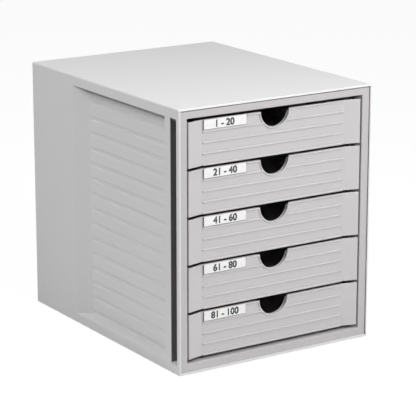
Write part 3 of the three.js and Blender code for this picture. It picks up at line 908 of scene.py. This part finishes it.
class DRAWERBOX_OT_side_panels(Operator):
    """Make the two side panels with their slots, recesses and grooves"""

    bl_idname = "drawer_box.side_panels"
    bl_label = "Side panels"

    def execute(self, context):
        tree = groove_tree()
        for label, side in SIDES.items():
            self.make(f"{label}_side_panel", side, tree)
        return {"FINISHED"}

    def make(self, node, side, tree):
        """Makes one side panel."""
        case, recess = settings().case, settings().recess
        low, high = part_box(node)
        top = CAD_BOX[1].z - case.wall - case.seam_gap
        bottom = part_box("base_panel")[0].z + case.wall + case.seam_gap
        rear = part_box("back_panel")[0].y - case.seam_gap
        deep_x = recess.floor_x - recess.depth
        copy = packed(node)
        shift_plane(copy, X, side * deep_x, side * recess.floor_x)
        shift_plane(copy, Y, high.y, rear)
        shift_plane(copy, Z, low.z, bottom)
        shift_plane(copy, Z, high.z, top)
        flatten(copy)
        obj = new_object(f"{node}_finished", copy, "case_plastic")
        groove_end = recess.ramp_start - recess.rear_gap
        slant = side * (recess.ramp_end - recess.ramp_start) / (CAD_BOX[1].x - recess.floor_x)
        places = {"floor": side * recess.floor_x, "deep": side * deep_x, "end": groove_end}
        run_tree(obj, tree, "case_plastic", recess, slant=slant, **places)
        outer, front, floor = (X, CAD_BOX[1].x), (Y, CAD_BOX[0].y), (X, recess.floor_x)
        on_floor = [vert.co for vert in obj.data.vertices if abs(abs(vert.co.x) - recess.floor_x) < TOUCH]
        heights = [corner.z for corner in on_floor]
        levels = [(Z, min(heights)), (Z, max(heights))]
        floor_start = min(corner.y for corner in on_floor)
        ends = [*levels, *((Y, place) for place in (floor_start, recess.start, groove_end))]
        seams = [(face, (Z, place)) for face in (outer, front) for place in (top, bottom)]
        rules = [
            *((seam, case.seam_radius) for seam in (*seams, (outer, (Y, rear)))),
            ((front, outer), case.outer_radius),
            ((front,), case.lip_radius),
            ((outer, (Y, recess.ramp_end)), recess.ramp_ease),
            ((floor, (Y, recess.ramp_start)), recess.ramp_ease),
            ((outer, (Z, recess.sill)), recess.sill_radius),
            ((outer,), case.mouth_radius),
            *(((floor, end), recess.end_radius) for end in ends),
            ((floor,), recess.radius),
        ]
        cuts = [(Y, between(along, recess.start, groove_end)) for along in recess.cut_shares]
        soften(obj, case.inner_radius, rules, [(Z, (bottom + top) / 2), *cuts])
        # paints shade into the slot and under the recess's top
        self.line(obj, recess)
        deliver(obj, "case", "case_plastic", node)

    def line(self, obj, recess):
        """Paints shade: gives the slot's walls and the slanted upper end of the recess a darker grey that
        stands in for their shadow.
        """
        obj.data.materials.append(material("slot_lining"))
        for face in obj.data.polygons:
            x, y, z = abs(face.center.x), face.center.y, face.center.z
            sunk = x < CAD_BOX[1].x - TOUCH
            in_slot = recess.slot_front - TOUCH < y < recess.slot_rear + TOUCH and x > recess.slot_x - TOUCH
            in_recess = recess.start < y < recess.ramp_end and x > recess.floor_x - TOUCH
            at_ceiling = 0 < recess.ceiling + TOUCH - z < recess.ceiling_slant
            under = at_ceiling and face.normal.z < -LEVEL_NORMAL
            walls = in_slot and face.normal.z < LEVEL_NORMAL
            # faces in the slot and under the recess's top take the painted shade
            face.material_index = int(sunk and (walls or in_recess and under))


class DRAWERBOX_OT_front_frame(Operator):
    """Make the frame that is set back in the mouth of the case"""

    bl_idname = "drawer_box.front_frame"
    bl_label = "Front frame"

    def execute(self, context):
        case = settings().case
        low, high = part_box("front_frame")
        face = (Y, low.y)
        side = CAD_BOX[1].x - case.wall - case.seam_gap
        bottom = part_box("base_panel")[0].z + case.wall + case.seam_gap
        top = CAD_BOX[1].z - case.wall - case.frame_gap
        moves = [(X, low.x, -side), (X, high.x, side), (Z, low.z, bottom), (Z, high.z, top)]
        rules = [((face, plane), case.seam_radius) for plane in ((X, side), (Z, bottom), (Z, top))]
        rules.append(((face,), case.opening_radius))
        # the frame takes the darker grey that is painted shade
        piece = soft_copy("front_frame", "frame_plastic", case.inner_radius, rules, moves)
        deliver(piece, "case", "case_plastic", "front_frame")
        return {"FINISHED"}


class DRAWERBOX_OT_runner_panels(Operator):
    """Make the two runner panels inside the case"""

    bl_idname = "drawer_box.runner_panels"
    bl_label = "Runner panels"

    def execute(self, context):
        tree = rail_tree()
        for label, side in SIDES.items():
            self.make(f"{label}_runner_panel", side, tree)
        return {"FINISHED"}

    def make(self, node, side, tree):
        """Makes one runner panel with its rails and stops."""
        rails = settings().rails
        rims = [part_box(f"drawer_{number}_tray")[1].z for number in reversed(DRAWERS)]
        low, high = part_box(node)
        outer, rail_edge = (high.x, low.x) if side > 0 else (low.x, high.x)
        inner = outer - side * rails.wall
        wall = [(outer, low.y), (outer, high.y), (inner, high.y), (inner, low.y)]
        obj = new_object(f"{node}_finished", prism(wall, low.z, high.z), "inner_plastic")
        places = {
            "edge": rail_edge,
            "inside": (outer + inner) / 2,
            "front": low.y + rails.end_gap,
            "back": high.y - rails.end_gap,
            "first": rims[0] - rails.below_rim - rails.height,
            "pitch": rims[1] - rims[0],
            "stop": low.y + rails.stop_place,
        }
        run_tree(obj, tree, "inner_plastic", rails, rails=len(rims), **places)
        soften(obj, settings().case.inner_radius)
        deliver(obj, "case", "inner_plastic", node)


class DRAWERBOX_OT_feet(Operator):
    """Make the four push-in feet"""

    bl_idname = "drawer_box.feet"
    bl_label = "Feet"

    def execute(self, context):
        foot = settings().foot
        turns = [math.pi / 2 * step / FOOT_EDGE_STEPS for step in range(FOOT_EDGE_STEPS + 1)]
        for node in (name for name in frame["nodes"] if name.startswith("foot_")):
            low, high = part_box(node)
            pad = (high.x - low.x) / 2
            core = pad - foot.edge
            barb_low = high.z - foot.barb_height
            edge = [(core + foot.edge * math.sin(t), foot.edge * (1 - math.cos(t))) for t in turns]
            profile = [
                (0, foot.dish_depth),
                (foot.dish - foot.dish_depth, foot.dish_depth),
                (foot.dish, 0),
                *edge,
                (pad, foot.pad - foot.edge / 2),
                (pad - foot.edge / 2, foot.pad),
                (foot.stem, foot.pad),
                (foot.stem, barb_low),
                (foot.barb, barb_low),
                (foot.stem, high.z),
                (0, high.z),
            ]
            obj = new_object(f"{node}_finished", revolve(profile, middle(node)), "foot_rubber")
            close_and_shade(obj)
            deliver(obj, "case", "foot_rubber", node)
        return {"FINISHED"}


class DRAWERBOX_OT_trays(Operator):
    """Make the five trays"""

    bl_idname = "drawer_box.trays"
    bl_label = "Trays"

    def execute(self, context):
        tray = settings().tray
        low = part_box("drawer_1_tray")[0].z
        rules = [(((Z, low),), tray.foot_radius), (((Z, low + tray.wall),), tray.floor_radius)]
        hook = settings().front.hook_place
        cuts = [(X, hook), (X, -hook), (Y, 0)]
        piece = soft_copy("drawer_1_tray", "front_plastic", tray.radius, rules, cuts=cuts)
        deliver_drawers(piece, "tray", "drawer_plastic")
        return {"FINISHED"}


class DRAWERBOX_OT_fronts(Operator):
    """Make the five drawer fronts with their ridges and finger notches"""

    bl_idname = "drawer_box.fronts"
    bl_label = "Drawer fronts"

    def execute(self, context):
        front = settings().front
        low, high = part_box("drawer_1_front")
        half, end_y = high.x, low.y
        face_y = end_y + front.hollow
        back_y = face_y + front.wall
        return_y = end_y + front.return_length
        kink = half - front.end_zone
        inner = half - front.return_wall
        right = [
            (kink, face_y, front.bend_radius),
            (half, end_y, front.end_radius),
            (half, return_y, front.radius),
            (inner, return_y, front.radius),
            (inner, end_y + front.wall, front.radius),
            (kink, back_y, front.bend_radius),
        ]
        left = [(-x, y, radius) for x, y, radius in reversed(right)]
        wall = prism(fillet(right + left), low.z, high.z)
        obj = new_object("drawer_1_front_finished", wall, "front_plastic")
        ridge_half = kink - front.ridge_end_gap
        given = {
            "face": face_y,
            "back": back_y,
            "bottom": low.z,
            "top": high.z,
            "half": ridge_half,
            "label_right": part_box("drawer_1_label_holder")[1].x + front.label_gap,
        }
        run_tree(obj, front_tree(), "front_plastic", front, **given)
        proud, face, top = (Y, face_y - front.ridge_proud), (Y, face_y), (Z, high.z)
        step = (high.z - low.z - front.lip_height) / front.ridge_steps
        ridges = range(1, front.ridge_steps + 1)
        feet = [low.z, *(low.z + front.lip_height + step * i - front.ridge_height for i in ridges)]
        rules = [
            *(((proud, (Z, foot)), front.crest_foot) for foot in feet),
            ((proud,), front.crest_radius),
            ((face, top), front.top_radius),
            ((face,), front.crest_root),
            ((top,), front.top_radius),
        ]
        places = (front.hook_place, ridge_half - front.cut_gap)
        cuts = [(X, side * place) for side in SIDES.values() for place in places]
        soften(obj, front.radius, rules, [(X, 0), *cuts])
        deliver_drawers(obj, "front", "drawer_plastic")
        return {"FINISHED"}


class DRAWERBOX_OT_labels(Operator):
    """Make the five label pockets and their cards with plain numbers"""

    bl_idname = "drawer_box.labels"
    bl_label = "Labels"

    def execute(self, context):
        label = settings().label
        pocket = soft_copy("drawer_1_label_holder", "pocket_window", label.radius)
        pocket.data.materials.append(material("pocket_edge"))
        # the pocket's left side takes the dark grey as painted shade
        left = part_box("drawer_1_label_holder")[0].x + 2 * label.radius
        for face in pocket.data.polygons:
            face.material_index = int(face.center.x < left)
        deliver_drawers(pocket, "label_holder", "label_clear")
        tree = figures_tree()
        for number in DRAWERS:
            node = f"drawer_{number}_label_card"
            obj = soft_copy(node, "label_card", label.radius)
            last = number * label.files
            self.print_on(obj, node, f"{last - label.files + 1} - {last}", tree)
            deliver(obj, f"drawer_{number}", "label_card", node)
        return {"FINISHED"}

    def print_on(self, obj, node, text, tree):
        """Adds a line of figures to the front of a card, as thin closed shapes in ink."""
        label = settings().label
        centre = middle(node)
        centre.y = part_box(node)[0].y
        figures = new_object("figures", bmesh.new(), "label_ink")
        run_tree(figures, tree, "label_ink", label, text=text, depth=2 * label.lift)
        figures.data.transform(Matrix.Translation(centre))
        whole = bmesh.new()
        whole.from_mesh(obj.data)
        plain = len(whole.faces)
        whole.from_mesh(figures.data)
        whole.faces.ensure_lookup_table()
        for face in whole.faces[plain:]:
            face.material_index = 1
        whole.to_mesh(obj.data)
        whole.free()
        bpy.data.objects.remove(figures)
        obj.data.materials.append(material("label_ink"))
        close_and_shade(obj)


class DRAWERBOX_OT_stage(Operator):
    """Make the floor, the lights and the camera"""

    bl_idname = "drawer_box.stage"
    bl_label = "Stage"

    def execute(self, context):
        stage = settings().stage
        self.floor(stage)
        self.sky(stage.sky)
        self.lamp("light_above", stage.above_place, stage.above_size, stage.above)
        self.lamp("light_in_front", stage.before_place, stage.before_size, stage.before)
        self.lamp("light_at_left", stage.beside_place, stage.beside_size, stage.beside)
        self.camera(stage)
        return {"FINISHED"}

    def seen(self, tree):
        """1 for rays that come from the camera, straight or by gloss or clear plastic, else 0."""
        rays = ("Is Camera Ray", "Is Glossy Ray", "Is Transmission Ray")
        straight, glossy, clear = tree.outputs("ShaderNodeLightPath", *rays)
        return tree.math("MAXIMUM", straight, tree.math("MAXIMUM", glossy, clear))

    def floor(self, stage):
        """A pale floor that looks white and keeps a soft shadow."""
        paint = bpy.data.materials.new("floor_paint")
        paint.use_nodes = True
        tree = NodeTree(paint.node_tree)
        tree.tree.nodes.clear()
        plain = tree.add("ShaderNodeBsdfDiffuse", values={"Color": grey(stage.floor_paint)})
        shaded = tree.add("ShaderNodeBsdfDiffuse", values={"Color": grey(stage.floor_shade)})
        glow = tree.add("ShaderNodeEmission", values={"Color": grey(1), "Strength": stage.floor_glow})
        white = tree.add("ShaderNodeAddShader", values={0: shaded, 1: glow})
        mixed = tree.add("ShaderNodeMixShader", values={0: self.seen(tree), 1: plain, 2: white})
        tree.add("ShaderNodeOutputMaterial", values={"Surface": mixed}, out=None)
        sheet = bmesh.new()
        bmesh.ops.create_grid(sheet, x_segments=1, y_segments=1, size=stage.floor / 2)
        new_object("floor", sheet, "floor_paint")

    def sky(self, strength):
        """Even light from all round, which looks white."""
        world = bpy.data.worlds.new("sky")
        bpy.context.scene.world = world
        world.use_nodes = True
        tree = NodeTree(world.node_tree)
        tree.tree.nodes.clear()
        light = tree.add("ShaderNodeBackground", values={"Color": grey(1), "Strength": strength})
        white = tree.add("ShaderNodeBackground", values={"Color": grey(1), "Strength": 1.0})
        mixed = tree.add("ShaderNodeMixShader", values={0: self.seen(tree), 1: light, 2: white})
        tree.add("ShaderNodeOutputWorld", values={"Surface": mixed}, out=None)

    def lamp(self, name, place, size, watts):
        """A square soft light that shines at the middle of the box."""
        aim = Vector((0, 0, CAD_BOX[1].z / 2))
        light = bpy.data.lights.new(name, "AREA")
        light.size = size
        light.energy = watts
        obj = bpy.data.objects.new(name, light)
        obj.location = place
        obj.rotation_euler = (Vector(place) - aim).to_track_quat("Z", "Y").to_euler()
        obj.visible_camera = False
        bpy.context.scene.collection.objects.link(obj)

    def camera(self, stage):
        """The camera, turned and raised round its aim point, and the plain view transform."""
        turn, rise = stage.azimuth, stage.elevation
        level = math.cos(rise)
        back = Vector((math.sin(turn) * level, -math.cos(turn) * level, math.sin(rise)))
        data = bpy.data.cameras.new("camera")
        data.lens = stage.lens
        data.clip_end = stage.floor
        obj = bpy.data.objects.new("camera", data)
        obj.location = Vector((stage.aim_x, 0, stage.aim_z)) + back * stage.distance
        obj.rotation_euler = back.to_track_quat("Z", "Y").to_euler()
        bpy.context.scene.collection.objects.link(obj)
        bpy.context.scene.camera = obj
        bpy.context.scene.view_settings.view_transform = "Standard"


OPERATORS = (
    DRAWERBOX_OT_finishes,
    DRAWERBOX_OT_shell,
    DRAWERBOX_OT_side_panels,
    DRAWERBOX_OT_front_frame,
    DRAWERBOX_OT_runner_panels,
    DRAWERBOX_OT_feet,
    DRAWERBOX_OT_trays,
    DRAWERBOX_OT_fronts,
    DRAWERBOX_OT_labels,
    DRAWERBOX_OT_stage,
)


class DRAWERBOX_PT_steps(Panel):
    """Lists the steps that make the drawer box"""

    bl_idname = "DRAWERBOX_PT_steps"
    bl_label = "Drawer box"
    bl_space_type = "VIEW_3D"
    bl_region_type = "UI"
    bl_category = "Drawer box"

    def draw(self, context):
        for operator in OPERATORS:
            self.layout.operator(operator.bl_idname)


SIZES = (
    CaseSizes, RecessSizes, RailSizes, FrontSizes, TraySizes, LabelSizes, FootSizes, Finishes, StageSizes,
)
CLASSES = (*SIZES, DrawerBox, *OPERATORS, DRAWERBOX_PT_steps)


def register():
    """Adds the settings, the operators and the panel to Blender."""
    for cls in CLASSES:
        bpy.utils.register_class(cls)
    bpy.types.Scene.drawer_box = PointerProperty(type=DrawerBox)


def unregister():
    """Takes all of it out of Blender again."""
    del bpy.types.Scene.drawer_box
    for cls in reversed(CLASSES):
        bpy.utils.unregister_class(cls)


def main():
    """Makes the whole drawer box and its stage."""
    register()
    bpy.ops.drawer_box.finishes()
    bpy.ops.drawer_box.shell()
    bpy.ops.drawer_box.side_panels()
    bpy.ops.drawer_box.front_frame()
    bpy.ops.drawer_box.runner_panels()
    bpy.ops.drawer_box.feet()
    bpy.ops.drawer_box.trays()
    bpy.ops.drawer_box.fronts()
    bpy.ops.drawer_box.labels()
    bpy.ops.drawer_box.stage()


if __name__ == "__main__":
    main()
